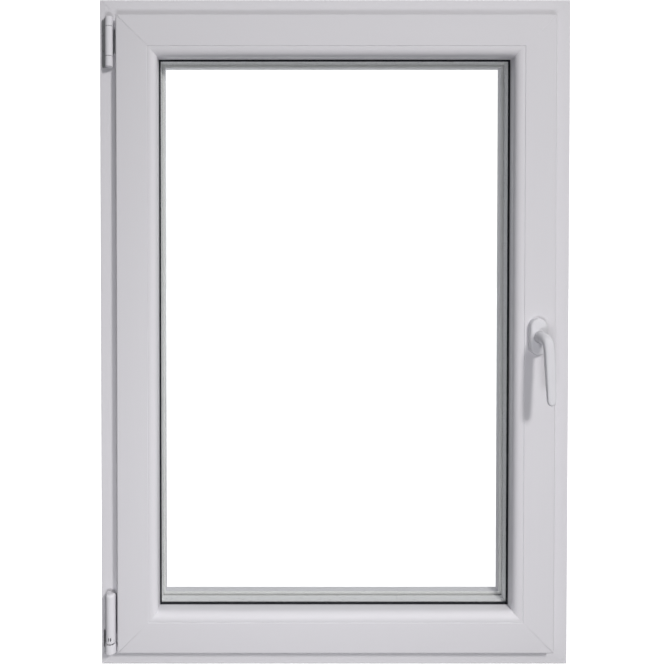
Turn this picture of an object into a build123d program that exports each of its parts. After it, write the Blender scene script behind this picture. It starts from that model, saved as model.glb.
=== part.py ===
from build123d import *
import math
import os

# Overall sizes, mm. X runs right along the sill, Y points outdoors, Z is up.
frame_width = 865.0
frame_height = 1230.0
frame_depth = 70.0

# Frame section
frame_face = 42.0
stop_height = 20.0
stop_depth = 14.0
wall = 2.8
web = 1.5

# Sash section
overlap = 8.0
sash_face = 57.0
sash_proud = 19.0
flange_depth = 15.0
hardware_gap = 12.0
lip_height = 20.0
lip_depth = 14.0
seal_gap = 5.0
groove_line = 9.0
weld_width = 2.4
weld_depth = 0.35

# Glazing
glass_unit = 24.0
pane_thickness = 4.0
glazing_rubber = 3.0
packer_thickness = 5.0
packer_length = 100.0
bead_width = 16.0
bead_round = 12.5
seal_width = 5.0
spacer_width = 7.0

# Steel inserts
steel_gauge = 1.5
steel_play = 0.3
steel_setback = 75.0

# Faceplates, rods and cams
plate_half = 8.0
plate_thickness = 2.6
recess_play = 0.2
rod_half = 5.8
rod_thickness = 2.5
channel_play = 0.4
rod_stroke = 36.0
stem_radius = 3.0
cam_radius = 4.0
mushroom_radius = 5.25
slot_play = 0.3
corner_leg = 96.0
keep_base = 3.0
keep_lip = 4.8

# Gearbox
teeth = 12
pressure_angle = 25.0
tip_height = 0.94
root_depth = 1.71
backlash = 0.15
face_tooth = 6.4
spindle_size = 7.0
hub_radius = 7.0
running_fit = 0.05
case_half = 55.0
case_depth = 15.0

# Handle
handle_screw_pitch = 43.0
rose_width = 30.5
rose_height = 66.0
rose_depth = 11.0
rose_wall = 1.2
neck_radius = 10.5
journal_radius = 8.2
lever_length = 112.0
lever_tip_radius = 8.6
lever_reach = 45.0

# Hinges
axis_inset = 22.0
axis_proud = 10.0
tilt_axis_height = 46.0
strap_thickness = 3.0
strap_gap = 0.5
knuckle_radius = 5.5
pin_radius = 2.8
cover_gap = 0.2
cover_wall = 1.3
barrel_radius = 7.6
ball_radius = 6.5
socket_play = 0.1
pivot_pin_radius = 4.0
stay_reach = 405.0
stay_pin_reach = 380.0
stay_slot_end = 396.4
stay_slot_radius = 4.2
guide_pin_radius = 3.0

# Levels in from the frame's outer edge
W = frame_width
H = frame_height
u_stop = frame_face + stop_height
u_flange = frame_face - overlap
u_groove = frame_face + hardware_gap
u_sight = u_flange + sash_face
u_lip = u_sight + lip_height
u_glass = u_sight + packer_thickness
u_bead = u_sight + bead_width
u_plate = u_groove + recess_play
u_rod = u_plate + plate_thickness + 0.2
u_rod_back = u_rod + rod_thickness
u_channel = u_groove + 9.0
u_cam_tip = frame_face + 5.8
u_axis = frame_face - axis_inset

# Levels through the wall
y_out = frame_depth / 2
y_face = -frame_depth / 2
y_stop = y_out - stop_depth
y_sash = y_face - sash_proud
y_back = y_sash + flange_depth
y_sash_out = y_stop - seal_gap
y_glaze = y_sash_out - lip_depth
y_pane_out = y_glaze - glazing_rubber
y_pane_in = y_pane_out - glass_unit
y_bead_back = y_pane_in - glazing_rubber
y_line = y_face + groove_line

# Hinge axis
ax = -W / 2 + u_axis
ay = y_face - axis_proud
az = tilt_axis_height

os.makedirs("parts", exist_ok=True)


def outline(points):
    """A closed wire through 3-D points; each point is (vector, radius)."""
    count = len(points)
    corners = []
    for i in range(count):
        here, radius = points[i]
        before = points[i - 1][0]
        after = points[(i + 1) % count][0]
        if radius <= 0:
            corners.append((here, here, None))
            continue
        a = (before - here).normalized()
        b = (after - here).normalized()
        half = math.acos(max(-1.0, min(1.0, a.dot(b)))) / 2
        reach = radius / math.tan(half)
        centre = here + (a + b).normalized() * (radius / math.sin(half))
        start = here + a * reach
        end = here + b * reach
        middle = centre + (here - centre).normalized() * radius
        corners.append((start, end, middle))
    edges = []
    for i in range(count):
        start, end, middle = corners[i]
        following = corners[(i + 1) % count][0]
        if middle is not None:
            edges.append(Edge.make_three_point_arc(start, middle, end))
        if (following - end).length > 1e-6:
            edges.append(Edge.make_line(end, following))
    return Wire(edges)


def place(side, along, u, y):
    """A point on one side of the window: distance along it, in from the edge, and through the wall."""
    if side == "left":
        return Vector(-W / 2 + u, y, along)
    if side == "right":
        return Vector(W / 2 - u, y, along)
    if side == "bottom":
        return Vector(along, y, u)
    return Vector(along, y, H - u)


def inward(side):
    """The direction from the frame's outer edge into the window."""
    return place(side, 0, 1, 0) - place(side, 0, 0, 0)


def lengthwise(side):
    return place(side, 1, 0, 0) - place(side, 0, 0, 0)


def span(side):
    if side in ("left", "right"):
        return 0.0, H
    return -W / 2, W / 2


def run(side, section, start, end):
    """A straight length of a section; section points are (u, y) or (u, y, radius)."""
    points = []
    for item in section:
        radius = item[2] if len(item) > 2 else 0.0
        points.append((place(side, start, item[0], item[1]), radius))
    face = Face(outline(points))
    return Solid.extrude(face, lengthwise(side) * (end - start))


def box(x0, x1, y0, y1, z0, z1):
    return Solid.make_box(x1 - x0, y1 - y0, z1 - z0, Plane(origin=(x0, y0, z0)))


def block(side, start, end, u0, u1, y0, y1):
    a = place(side, start, u0, y0)
    b = place(side, end, u1, y1)
    low = [min(a.X, b.X), min(a.Y, b.Y), min(a.Z, b.Z)]
    high = [max(a.X, b.X), max(a.Y, b.Y), max(a.Z, b.Z)]
    return box(low[0], high[0], low[1], high[1], low[2], high[2])


def rod_of(radius, start, direction, length):
    return Solid.make_cylinder(radius, length, Plane(origin=start, z_dir=direction))


def peg(side, along, y, u0, u1, radius):
    """A round peg square to one side, from level u0 in to level u1."""
    return rod_of(radius, place(side, along, u0, y), inward(side), u1 - u0)


def turned(profile, x, y):
    """A solid turned about the upright line through x, y; profile points are (radius, z)."""
    points = [(Vector(x + item[0], y, item[1]), item[2] if len(item) > 2 else 0.0) for item in profile]
    face = Face(outline(points))
    return Solid.revolve(face, 360.0, Axis((x, y, 0), (0, 0, 1)))


def solids_of(shape):
    return list(shape.solids())


def fuse(items):
    items = list(items)
    result = items[0]
    for item in items[1:]:
        result = result + item
    return result


def cut(shape, tools):
    for tool in tools:
        shape = shape - tool
    return shape


def near(tools, shape):
    """The tools whose boxes reach the shape's box."""
    home = shape.bounding_box()
    found = []
    for tool in tools:
        b = tool.bounding_box()
        apart_x = b.min.X > home.max.X or b.max.X < home.min.X
        apart_y = b.min.Y > home.max.Y or b.max.Y < home.min.Y
        apart_z = b.min.Z > home.max.Z or b.max.Z < home.min.Z
        if not (apart_x or apart_y or apart_z):
            found.append(tool)
    return found


def drill(shape, tools):
    return cut(shape, near(tools, shape))


def mitre_wedge(side, depth):
    """The prism that leaves one side its share of the mitred rectangle."""
    if side == "bottom":
        corners = [(-W / 2, 0), (W / 2, 0), (W / 2 - depth, depth), (-W / 2 + depth, depth)]
    elif side == "top":
        corners = [(-W / 2, H), (W / 2, H), (W / 2 - depth, H - depth), (-W / 2 + depth, H - depth)]
    elif side == "left":
        corners = [(-W / 2, 0), (-W / 2, H), (-W / 2 + depth, H - depth), (-W / 2 + depth, depth)]
    else:
        corners = [(W / 2, 0), (W / 2, H), (W / 2 - depth, H - depth), (W / 2 - depth, depth)]
    low = y_sash - 100
    high = y_out + 100
    points = [(Vector(c[0], low, c[1]), 0.0) for c in corners]
    return Solid.extrude(Face(outline(points)), Vector(0, high - low, 0))


SIDES = ("bottom", "top", "left", "right")
wedges = {side: mitre_wedge(side, u_lip + 20) for side in SIDES}


def mitred(side, section, hollows=()):
    start, end = span(side)
    body = run(side, section, start, end)
    body = cut(body, [run(side, hollow, start, end) for hollow in hollows])
    return body & wedges[side]


def ring(section, hollows=()):
    return fuse([mitred(side, section, hollows) for side in SIDES])


def rect(u0, u1, y0, y1):
    return [(u0, y0), (u1, y0), (u1, y1), (u0, y1)]


def weld_grooves(u0, u1, y0, y1):
    """Cleaned weld seams at the four mitres, between two levels."""
    tools = []
    half = weld_width / 2 / math.sqrt(2)
    for sx in (-1, 1):
        for top in (False, True):
            x_edge = sx * W / 2
            z_edge = H if top else 0.0
            dx = -sx
            dz = -1 if top else 1
            a = (x_edge + dx * u0, z_edge + dz * u0)
            b = (x_edge + dx * u1, z_edge + dz * u1)
            nx = -dz * half
            nz = dx * half
            points = [
                (Vector(a[0] + nx, y0, a[1] + nz), 0.0),
                (Vector(b[0] + nx, y0, b[1] + nz), 0.0),
                (Vector(b[0] - nx, y0, b[1] - nz), 0.0),
                (Vector(a[0] - nx, y0, a[1] - nz), 0.0),
            ]
            tools.append(Solid.extrude(Face(outline(points)), Vector(0, y1 - y0, 0)))
    return tools


def screw(start, direction, length, head, shank):
    """A countersunk screw whose flat head starts at the given point."""
    plane = Plane(origin=start, z_dir=direction)
    cone = Solid.make_cone(head, shank, head - shank, plane)
    body = Solid.make_cylinder(shank, length, plane)
    return cone + body


def save(name, shape):
    solids = solids_of(shape)
    made = Compound(label=name, children=solids) if len(solids) > 1 else solids[0]
    made.label = name
    export_step(made, "parts/" + name + ".step")


# Screws ---------------------------------------------------------------
stay_low = H - 124.0
stay_high = H - 38.0
gap_low = stay_low + 16.0
gap_high = stay_high - 15.0
plate_screw_x = -W / 2 + u_axis - 12.0
outward_y = Vector(0, 1, 0)
hinge_plate_front = y_face - 2.8

frame_screws = []
for z in (stay_low + 28.0, stay_high - 28.0):
    frame_screws.append(screw(Vector(plate_screw_x, hinge_plate_front, z), outward_y, 26.0, 2.8, 1.6))
for z in (az - 5.0, az + 14.0):
    frame_screws.append(screw(Vector(plate_screw_x, hinge_plate_front, z), outward_y, 26.0, 2.8, 1.6))

# Cam places along each side
cam_reach = 0.2317 * H
lock_cams = [H / 2 - cam_reach, H / 2 + cam_reach]
top_cams = [0.139 * W]
bottom_cams = [-0.0694 * W]
tilt_cam = W / 2 - u_groove - 68.5
keep_short = 21.0
keep_long = rod_stroke + 8.0

keeps = {"lock": [], "head": [], "sill": [], "tilt": []}
keep_places = []
for z in lock_cams:
    keep_places.append(("lock", "right", z, -1))
for x in top_cams:
    keep_places.append(("head", "top", x, 1))
for x in bottom_cams:
    keep_places.append(("sill", "bottom", x, -1))
keep_places.append(("tilt", "bottom", tilt_cam, -1))
lip_low = y_face + 0.5
lip_high = y_face + 3.0
for kind, side, middle, way in keep_places:
    ends = sorted([middle - way * keep_short, middle + way * keep_long])
    base = block(side, ends[0], ends[1], frame_face, frame_face + keep_base, lip_low, y_face + 21.0)
    if kind == "tilt":
        held = sorted([middle + way * (rod_stroke - 10.0), middle + way * (rod_stroke + 8.0)])
    else:
        held = sorted([middle - way * (keep_short - 1.0), middle + way * 9.0])
    lip = block(side, held[0], held[1], frame_face, frame_face + keep_lip, lip_low, lip_high)
    keep = base + lip
    for spot in (ends[0] + 7.0, ends[1] - 7.0):
        head = place(side, spot, frame_face + keep_base, y_face + 14.0)
        frame_screws.append(screw(head, inward(side) * -1, 22.0, 3.8, 2.0))
    keeps[kind].append(keep)

# Frame members ----------------------------------------------------------
u_seal = u_stop - 4.0
frame_section = [
    (0.0, y_face, 1.0),
    (frame_face, y_face, 1.5),
    (frame_face, y_stop, 0.5),
    (u_stop, y_stop, 1.0),
    (u_stop, y_out, 2.0),
    (0.0, y_out, 1.0),
]
frame_hollows = [
    rect(wall, frame_face - wall, y_face + wall, y_face + 11.0),
    rect(5.0, frame_face - wall, y_face + 12.5, y_stop - 11.5),
    rect(wall, frame_face - wall, y_stop - 10.0, y_stop - web),
    rect(wall, frame_face - wall, y_stop, y_out - wall),
    rect(frame_face - wall + web, u_stop - wall, y_stop + wall + 0.4, y_out - wall),
    rect(u_seal - 1.5, u_seal + 1.5, y_stop, y_stop + 2.4),
]
frame_welds = weld_grooves(-1, frame_face, y_face - 1, y_face + weld_depth)
frame_welds += weld_grooves(-1, u_stop, y_out - weld_depth, y_out + 1)
fixing_radius = 5.0
fixing_y = y_face + 29.0
fixing_reach = H / 2 - 200.0
drain_reach = 0.289 * W
drain_level = 26.0
frame_names = {
    "bottom": "frame_sill",
    "top": "frame_head",
    "left": "frame_left_jamb",
    "right": "frame_right_jamb",
}
frame_steel_section = [
    (5.0 + steel_play, y_face + 12.5 + steel_play),
    (frame_face - wall - steel_play, y_face + 12.5 + steel_play),
    (frame_face - wall - steel_play, y_stop - 11.5 - steel_play),
    (5.0 + steel_play, y_stop - 11.5 - steel_play),
]
frame_steel_hollow = [
    (0.0, y_face + 12.5 + steel_play + steel_gauge),
    (frame_face - wall - steel_play - steel_gauge, y_face + 12.5 + steel_play + steel_gauge),
    (frame_face - wall - steel_play - steel_gauge, y_stop - 11.5 - steel_play - steel_gauge),
    (0.0, y_stop - 11.5 - steel_play - steel_gauge),
]
fixing_holes = {"left": [], "right": []}
for side in ("left", "right"):
    for z in (H / 2 - fixing_reach, H / 2 + fixing_reach):
        fixing_holes[side].append(peg(side, z, fixing_y, -1, frame_face + 1, fixing_radius))

frame_steel = []
for side in SIDES:
    start, end = span(side)
    bar = run(side, frame_steel_section, start + steel_setback, end - steel_setback)
    bar = bar - run(side, frame_steel_hollow, start, end)
    bar = cut(bar, fixing_holes.get(side, []))
    frame_steel.append(drill(bar, frame_screws))
    member = mitred(side, frame_section, frame_hollows)
    member = cut(member, frame_welds)
    member = cut(member, fixing_holes.get(side, []))
    if side == "bottom":
        for x in (-drain_reach, drain_reach):
            inner = x * 0.8
            member = member - box(x - 15, x + 15, y_out - wall - 1, y_out + 1, drain_level - 2.5, drain_level + 2.5)
            member = member - box(inner - 12, inner + 12, y_stop - 8, y_stop - 3, frame_face - wall - 1, frame_face + 1)
            member = member - box(inner - 12, inner + 12, y_stop - web - 1, y_stop + 1, 6, 11)
    member = drill(member, frame_screws)
    save(frame_names[side], member)
save("frame_reinforcement", fuse(frame_steel))

bulb = 2.3
seal_foot = [
    (u_seal - 1.4, y_stop - 2.0),
    (u_seal + 1.4, y_stop - 2.0),
    (u_seal + 1.4, y_stop + 2.3),
    (u_seal - 1.4, y_stop + 2.3),
]
seal_bulb = [
    (u_seal - bulb, y_stop - 2 * bulb + 0.2, 1.8),
    (u_seal + bulb, y_stop - 2 * bulb + 0.2, 1.8),
    (u_seal + bulb, y_stop, 0.0),
    (u_seal - bulb, y_stop, 0.0),
]
save("frame_gasket", ring(seal_foot) + ring(seal_bulb))

caps = []
for x in (-drain_reach, drain_reach):
    shell = box(x - 22, x + 22, y_out, y_out + 4, drain_level - 7, drain_level + 7)
    shell = shell.fillet(2.0, shell.edges().filter_by(Axis.Y))
    shell = shell.chamfer(1.2, None, shell.faces().sort_by(Axis.Y)[-1].edges())
    shell = shell - box(x - 20, x + 20, y_out - 1, y_out + 2.6, drain_level - 8, drain_level + 5.2)
    for dx in (-13.0, 13.0):
        shell = shell + box(x + dx - 1, x + dx + 1, y_out - 3.4, y_out + 3, drain_level - 2.3, drain_level + 2.3)
    caps.append(shell)
save("drain_caps", fuse(caps))

save("lock_side_strikers", fuse([drill(k, frame_screws) for k in keeps["lock"]]))
save("striker_head", drill(keeps["head"][0], frame_screws))
save("striker_sill", drill(keeps["sill"][0], frame_screws))
save("tilt_keep", drill(keeps["tilt"][0], frame_screws))

# Top hinge: bracket on the frame ----------------------------------------
u_strap = u_axis - 0.5
y_strap = ay + 6.5
y_strap_back = y_strap + strap_thickness
bore = pin_radius + running_fit
bracket = box(ax - 15.0, ax - 9.0, hinge_plate_front, y_face, stay_low, stay_high)
for low, high in ((stay_low, gap_low), (gap_high, stay_high)):
    bracket = bracket + rod_of(knuckle_radius, (ax, ay, low), (0, 0, 1), high - low)
    bracket = bracket + box(ax - 9.5, ax - 0.5, ay, y_face, low, high)
bracket = bracket - rod_of(pin_radius, (ax, ay, stay_low - 1), (0, 0, 1), stay_high - stay_low + 2)
save("stay_bearing", drill(bracket, frame_screws))
save("stay_pin", rod_of(pin_radius, (ax, ay, stay_low), (0, 0, 1), stay_high - stay_low))

r_in = knuckle_radius + cover_gap
r_out = r_in + cover_wall
top_cap = turned(
    [(0, stay_high), (r_in, stay_high), (r_in, gap_high), (r_out, gap_high), (r_out, stay_high + 2.2, 2.0), (0, stay_high + 2.2)],
    ax,
    ay,
)
low_cap = turned(
    [(0, stay_low), (r_in, stay_low), (r_in, gap_low), (r_out, gap_low), (r_out, stay_low - 3.0, 2.8), (0, stay_low - 3.0)],
    ax,
    ay,
)
back_cut = box(ax - 20, ax + 20, ay + 3.5, ay + 30, stay_low - 20, stay_high + 20)
web_cut = box(ax - 20, ax - 0.4, ay - 0.1, ay + 30, stay_low, stay_high)
save("stay_bearing_cover", cut(top_cap + low_cap, [back_cut, web_cut]))

# Stay arm -----------------------------------------------------------------
arm_low = gap_low + 0.9
arm_high = gap_high - 0.6
flat_low = H - u_groove + 2.0
flat_high = flat_low + 3.0
strap_low = arm_low + 7.6
strap_right = -W / 2 + u_groove - 2.0
arm = rod_of(knuckle_radius, (ax, ay, arm_low), (0, 0, 1), arm_high - arm_low)
arm = arm + box(ax - 0.5, ax + 6.0, ay, y_strap_back, strap_low, arm_high - 3.0)
arm = arm + box(ax - 0.5, strap_right, y_strap, y_strap_back, strap_low, arm_high - 3.0)
bar_left = -W / 2 + frame_face + 1.0
arm = arm + box(bar_left, strap_right, y_strap, y_strap_back, strap_low, flat_high)
bar_low_y = y_line - 7.0
bar_high_y = y_line + 7.0
arm = arm + box(bar_left, -W / 2 + u_groove + 16.0, y_strap, bar_high_y, flat_low, flat_high)
arm = arm + box(bar_left, ax + stay_reach, bar_low_y, bar_high_y, flat_low, flat_high)
slot_start = ax + stay_pin_reach - 0.3
slot_end = ax + stay_slot_end
slot_r = stay_slot_radius
arm = arm - rod_of(slot_r, (slot_start, y_line, flat_low - 1), (0, 0, 1), 6)
arm = arm - rod_of(slot_r, (slot_end, y_line, flat_low - 1), (0, 0, 1), 6)
arm = arm - box(slot_start, slot_end, y_line - slot_r, y_line + slot_r, flat_low - 1, flat_high + 1)
arm = arm - rod_of(bore, (ax, ay, arm_low - 1), (0, 0, 1), arm_high - arm_low + 2)
save("stay_arm", arm)
arm_cover = turned(
    [(r_in, arm_low + 0.1), (r_out, arm_low + 0.1), (r_out, arm_high - 0.1), (r_in, arm_high - 0.1)], ax, ay
)
save("stay_arm_cover", cut(arm_cover, [box(ax - 20, ax + 20, ay + 3.5, ay + 30, arm_low, arm_high),
                                       box(ax - 0.7, ax + 20, ay - 0.1, ay + 30, arm_low, arm_high)]))

# Bottom hinge ---------------------------------------------------------------
shelf_low = az - 11.5
shelf_high = az - 6.0
rest = rod_of(8.0, (ax, ay, shelf_low), (0, 0, 1), shelf_high - shelf_low)
rest = rest + box(ax - 7.4, ax + 7.4, ay, y_face, shelf_low, shelf_high)
rest = rest + box(ax - 15.0, ax + 12.5, hinge_plate_front, y_face, shelf_low, az - 2.0)
rest = rest + box(ax - 15.0, ax - 9.0, hinge_plate_front, y_face, shelf_low, az + 20.0)
rest = rest - rod_of(pivot_pin_radius, (ax, ay, shelf_low + 1.5), (0, 0, 1), 20)
save("pivot_rest", drill(rest, frame_screws))
pin_top = az + 3.6
save("pivot_pin", rod_of(pivot_pin_radius, (ax, ay, shelf_low + 1.5), (0, 0, 1), pin_top - shelf_low - 1.5))
ball = Solid.make_sphere(ball_radius, Plane(origin=(ax, ay, az)), -90, 90, 360)
ball = ball - box(ax - 10, ax + 10, ay - 10, ay + 10, az - 10, shelf_high + 0.3)
ball = ball - rod_of(pivot_pin_radius + running_fit, (ax, ay, az - 10), (0, 0, 1), pin_top + 0.4 - az + 10)
save("pivot_ball", ball)

band_top = az + 89.0
band = rod_of(barrel_radius, (ax, ay, az), (0, 0, 1), band_top - az)
slot_width = 2.0
slot_levels = (az + 10.0, az + 17.0)
slot_lefts = (ax - 2.8, ax + 1.2)
leaf_low = az + 14.0
leaf_high = band_top - 2.0
band = band + box(ax - 0.5, ax + 7.0, ay, y_strap_back, leaf_low, leaf_high)
band = band + box(ax - 0.5, strap_right, y_strap, y_strap_back, leaf_low, leaf_high)
u_leg = u_groove - 2.6
leg_y1 = y_line + 14.0
band = band + block("left", leaf_low, leaf_high, u_groove - 4.0, u_groove, y_strap, y_strap_back)
band = band + block("left", u_leg, leaf_high, u_leg, u_groove, y_strap, leg_y1)
band = band + block("bottom", -W / 2 + u_leg, -W / 2 + u_groove + 60.0, u_leg, u_groove, y_strap + 2.0, leg_y1)
band = cut(band, [box(x, x + slot_width, ay - 20, ay - 4.0, *slot_levels) for x in slot_lefts])
band = band - Solid.make_sphere(ball_radius + socket_play, Plane(origin=(ax, ay, az)), -90, 90, 360)

sash_screws = []
for z in (leaf_low + 16.0, leaf_high - 16.0):
    sash_screws.append(screw(place("left", z, u_leg, y_line), inward("left"), 20.0, 3.6, 2.0))
for x in (-W / 2 + u_groove + 20.0, -W / 2 + u_groove + 48.0):
    sash_screws.append(screw(place("bottom", x, u_leg, y_line), inward("bottom"), 20.0, 3.6, 2.0))
save("corner_band", drill(band, sash_screws))

band_r = barrel_radius + 0.1
band_cover = turned(
    [(0, band_top), (band_r, band_top), (band_r, az + 5.4), (band_r + 1.5, az + 5.4), (band_r + 1.5, band_top + 6.0, 5.0), (0, band_top + 6.0)],
    ax,
    ay,
)
band_cover = cut(
    band_cover,
    [
        box(ax - 20, ax + 20, ay + 3.5, ay + 30, az, band_top + 20),
        box(ax - 0.7, ax + 20, ay - 0.1, ay + 30, az, band_top + 20),
        *[box(x, x + slot_width, ay - 20, ay, *slot_levels) for x in slot_lefts],
    ],
)
save("corner_band_cover", band_cover)

shoe_in = barrel_radius + 1.1
shoe = turned(
    [
        (0, shelf_low - 1.5),
        (shoe_in + 2.2, shelf_low - 1.5, 0.8),
        (shoe_in + 2.0, shelf_low + 5.0),
        (shoe_in + 1.3, az + 3.6, 0.6),
        (shoe_in, az + 3.6),
        (shoe_in, shelf_low),
        (0, shelf_low),
    ],
    ax,
    ay,
)
shoe = cut(
    shoe,
    [
        box(ax - 20, ax + 20, ay + 3.5, ay + 30, shelf_low - 10, az + 20),
        box(ax - 20, ax - 8.0, ay + 3.0, ay + 30, shelf_low - 10, az + 20),
    ],
)
save("pivot_rest_cover", shoe)

# Rods, faceplates and corner drives ------------------------------------------
case_z = H / 2
u_spindle = u_rod + 1.04 + rod_stroke / math.pi
x_spindle = W / 2 - u_spindle
pitch_radius = rod_stroke / math.pi
rack_pitch = 2 * math.pi * pitch_radius / teeth
half_screw = handle_screw_pitch / 2

lock_ends = (104.0, H - 72.0)
top_ends = (-W / 2 + 102.5, W / 2 - 102.5)
bottom_ends = (-W / 2 + 202.5, W / 2 - 68.5)
leg_end = u_groove + corner_leg
rod_y0 = y_line - rod_half
rod_y1 = y_line + rod_half
lock_plate_screws = [leg_end + 0.10 * (H - 2 * leg_end), leg_end + 0.36 * (H - 2 * leg_end),
                     leg_end + 0.66 * (H - 2 * leg_end), leg_end + 0.90 * (H - 2 * leg_end)]
top_plate_screws = [-0.30 * W, 0.26 * W]
bottom_plate_screws = [-0.24 * W, 0.20 * W]
screw_r = 1.9
head_r = 3.4


def plate_screw(side, along):
    return screw(place(side, along, u_plate, y_line), inward(side), 15.5, head_r, screw_r)


lock_screw_z = [leg_end - 30.0] + lock_plate_screws + [H - leg_end + 30.0]
top_screw_x = top_plate_screws + [W / 2 - leg_end + 30.0]
bottom_screw_x = bottom_plate_screws + [W / 2 - u_groove - 22.0]
rod_screws = []
for z in lock_screw_z:
    rod_screws.append(plate_screw("right", z))
for x in top_screw_x:
    rod_screws.append(plate_screw("top", x))
for x in bottom_screw_x:
    rod_screws.append(plate_screw("bottom", x))
sash_screws += rod_screws


def long_slot(side, low, high, half, u0, u1):
    """A round-ended slot through a plate or rod."""
    body = block(side, low, high, u0, u1, y_line - half, y_line + half)
    return fuse([body, peg(side, low, y_line, u0, u1, half), peg(side, high, y_line, u0, u1, half)])


def push_rod(side, ends, way, cam_places, screw_places):
    """A flat rod with stem holes, and slots that clear the fixing screws over its stroke."""
    rod = block(side, ends[0], ends[1], u_rod, u_rod_back, rod_y0, rod_y1)
    for spot in cam_places:
        rod = rod - peg(side, spot, y_line, u_rod - 1, u_rod_back + 1, stem_radius)
    for spot in screw_places:
        far = spot - way * rod_stroke
        low, high = sorted([spot + way * 0.4, far - way * 0.4])
        rod = rod - long_slot(side, low, high, screw_r + 0.6, u_rod - 1, u_rod_back + 1)
    return rod


def cam(side, along):
    stem = peg(side, along, y_line, u_groove - 0.2, u_rod_back, stem_radius)
    body = peg(side, along, y_line, u_cam_tip + 2.4, u_groove - 0.1, cam_radius)
    head = peg(side, along, y_line, u_cam_tip, u_cam_tip + 2.5, mushroom_radius)
    return fuse([stem, body, head])


def faceplate(side, low, high, way, cam_places):
    plate = block(side, low, high, u_plate, u_plate + plate_thickness, y_line - plate_half, y_line + plate_half)
    for spot in cam_places:
        a, b = sorted([spot - way * 0.5, spot + way * (rod_stroke + 0.5)])
        plate = plate - long_slot(side, a, b, stem_radius + slot_play, u_plate - 1, u_plate + plate_thickness + 1)
    return drill(plate, rod_screws)


lock_rod = push_rod("right", lock_ends, -1, lock_cams, lock_screw_z)
slots = []
space_low = rack_pitch / 4 + backlash - (u_spindle - pitch_radius - u_rod + 1.0) * math.tan(math.radians(pressure_angle))
space_high = rack_pitch / 4 + backlash + (u_rod_back + 1.0 - u_spindle + pitch_radius) * math.tan(math.radians(pressure_angle))
extra = 2
count = int(round(rod_stroke / rack_pitch)) + 2 * extra + 1
for i in range(count):
    z = case_z + (i - extra) * rack_pitch
    corners = [
        (Vector(W / 2 - u_rod + 1.0, y_line - 3.5, z - space_low), 0.0),
        (Vector(W / 2 - u_rod + 1.0, y_line - 3.5, z + space_low), 0.0),
        (Vector(W / 2 - u_rod_back - 1.0, y_line - 3.5, z + space_high), 0.0),
        (Vector(W / 2 - u_rod_back - 1.0, y_line - 3.5, z - space_high), 0.0),
    ]
    slots.append(Solid.extrude(Face(outline(corners)), Vector(0, 7.0, 0)))
lock_rod = cut(lock_rod, slots)
save("lock_rod", lock_rod)
save("lock_rod_cams", fuse([cam("right", z) for z in lock_cams]))
save("top_rod", push_rod("top", top_ends, 1, top_cams, top_screw_x))
save("top_rod_cam", cam("top", top_cams[0]))
all_bottom = bottom_cams + [tilt_cam]
save("bottom_rod", push_rod("bottom", bottom_ends, -1, all_bottom, bottom_screw_x))
save("bottom_rod_cams", fuse([cam("bottom", x) for x in all_bottom]))

guide_x = ax + stay_pin_reach
guide_top = H - frame_face - 2.0
guide = rod_of(guide_pin_radius, (guide_x, y_line, H - u_plate - plate_thickness), (0, 0, 1), guide_top - H + u_plate + plate_thickness)
guide = guide + rod_of(6.0, (guide_x, y_line, H - u_plate), (0, 0, 1), 1.4)
save("stay_guide_pin", guide)

save("faceplate_lock_side", faceplate("right", leg_end + 0.5, H - leg_end - 0.5, -1, lock_cams))
top_plate = faceplate("top", -W / 2 + u_groove + 8.5, W / 2 - leg_end - 0.5, 1, top_cams)
save("faceplate_top", top_plate - guide)
bottom_plate_low = -W / 2 + u_groove + 64.0
save("faceplate_bottom", faceplate("bottom", bottom_plate_low, W / 2 - leg_end - 0.5, -1, all_bottom))

corner_drives = []
corner_springs = []
u_spring = u_rod_back + 1.1
for vertical in ("bottom", "top"):
    side_z = sorted([place(vertical, 0, u_plate, 0).Z, place(vertical, 0, leg_end, 0).Z])
    leg_a = block("right", side_z[0], side_z[1], u_plate, u_plate + plate_thickness, y_line - plate_half, y_line + plate_half)
    leg_b = block(vertical, W / 2 - leg_end, W / 2 - u_plate, u_plate, u_plate + plate_thickness,
                  y_line - plate_half, y_line + plate_half)
    drive = leg_a + leg_b
    if vertical == "bottom":
        drive = drive - long_slot("bottom", tilt_cam - rod_stroke - 0.5, tilt_cam + 0.5, stem_radius + slot_play,
                                  u_plate - 1, u_plate + plate_thickness + 1)
    corner_drives.append(drill(drive, rod_screws))
    turn_z = place(vertical, 0, u_spring, 0).Z
    inward_z = inward(vertical).Z
    spring_far = corner_leg + u_groove - 14.0
    outer = [
        (Vector(W / 2 - u_spring, y_line - 4.5, turn_z + inward_z * (spring_far - u_spring)), 0.0),
        (Vector(W / 2 - u_spring, y_line - 4.5, turn_z), 5.0),
        (Vector(W / 2 - spring_far, y_line - 4.5, turn_z), 0.0),
        (Vector(W / 2 - spring_far, y_line - 4.5, turn_z + inward_z), 0.0),
        (Vector(W / 2 - u_spring - 1.0, y_line - 4.5, turn_z + inward_z), 4.0),
        (Vector(W / 2 - u_spring - 1.0, y_line - 4.5, turn_z + inward_z * (spring_far - u_spring)), 0.0),
    ]
    strip = Solid.extrude(Face(outline(outer)), Vector(0, 9.0, 0))
    corner_springs.append(drill(strip, rod_screws))
save("corner_drives", fuse(corner_drives))
save("corner_springs", fuse(corner_springs))

# Gear case, pinion and spindle -------------------------------------------------
tip_radius = pitch_radius + tip_height
root_radius = pitch_radius - root_depth
base_radius = pitch_radius * math.cos(math.radians(pressure_angle))


def involute(angle):
    return math.tan(angle) - angle


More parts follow.
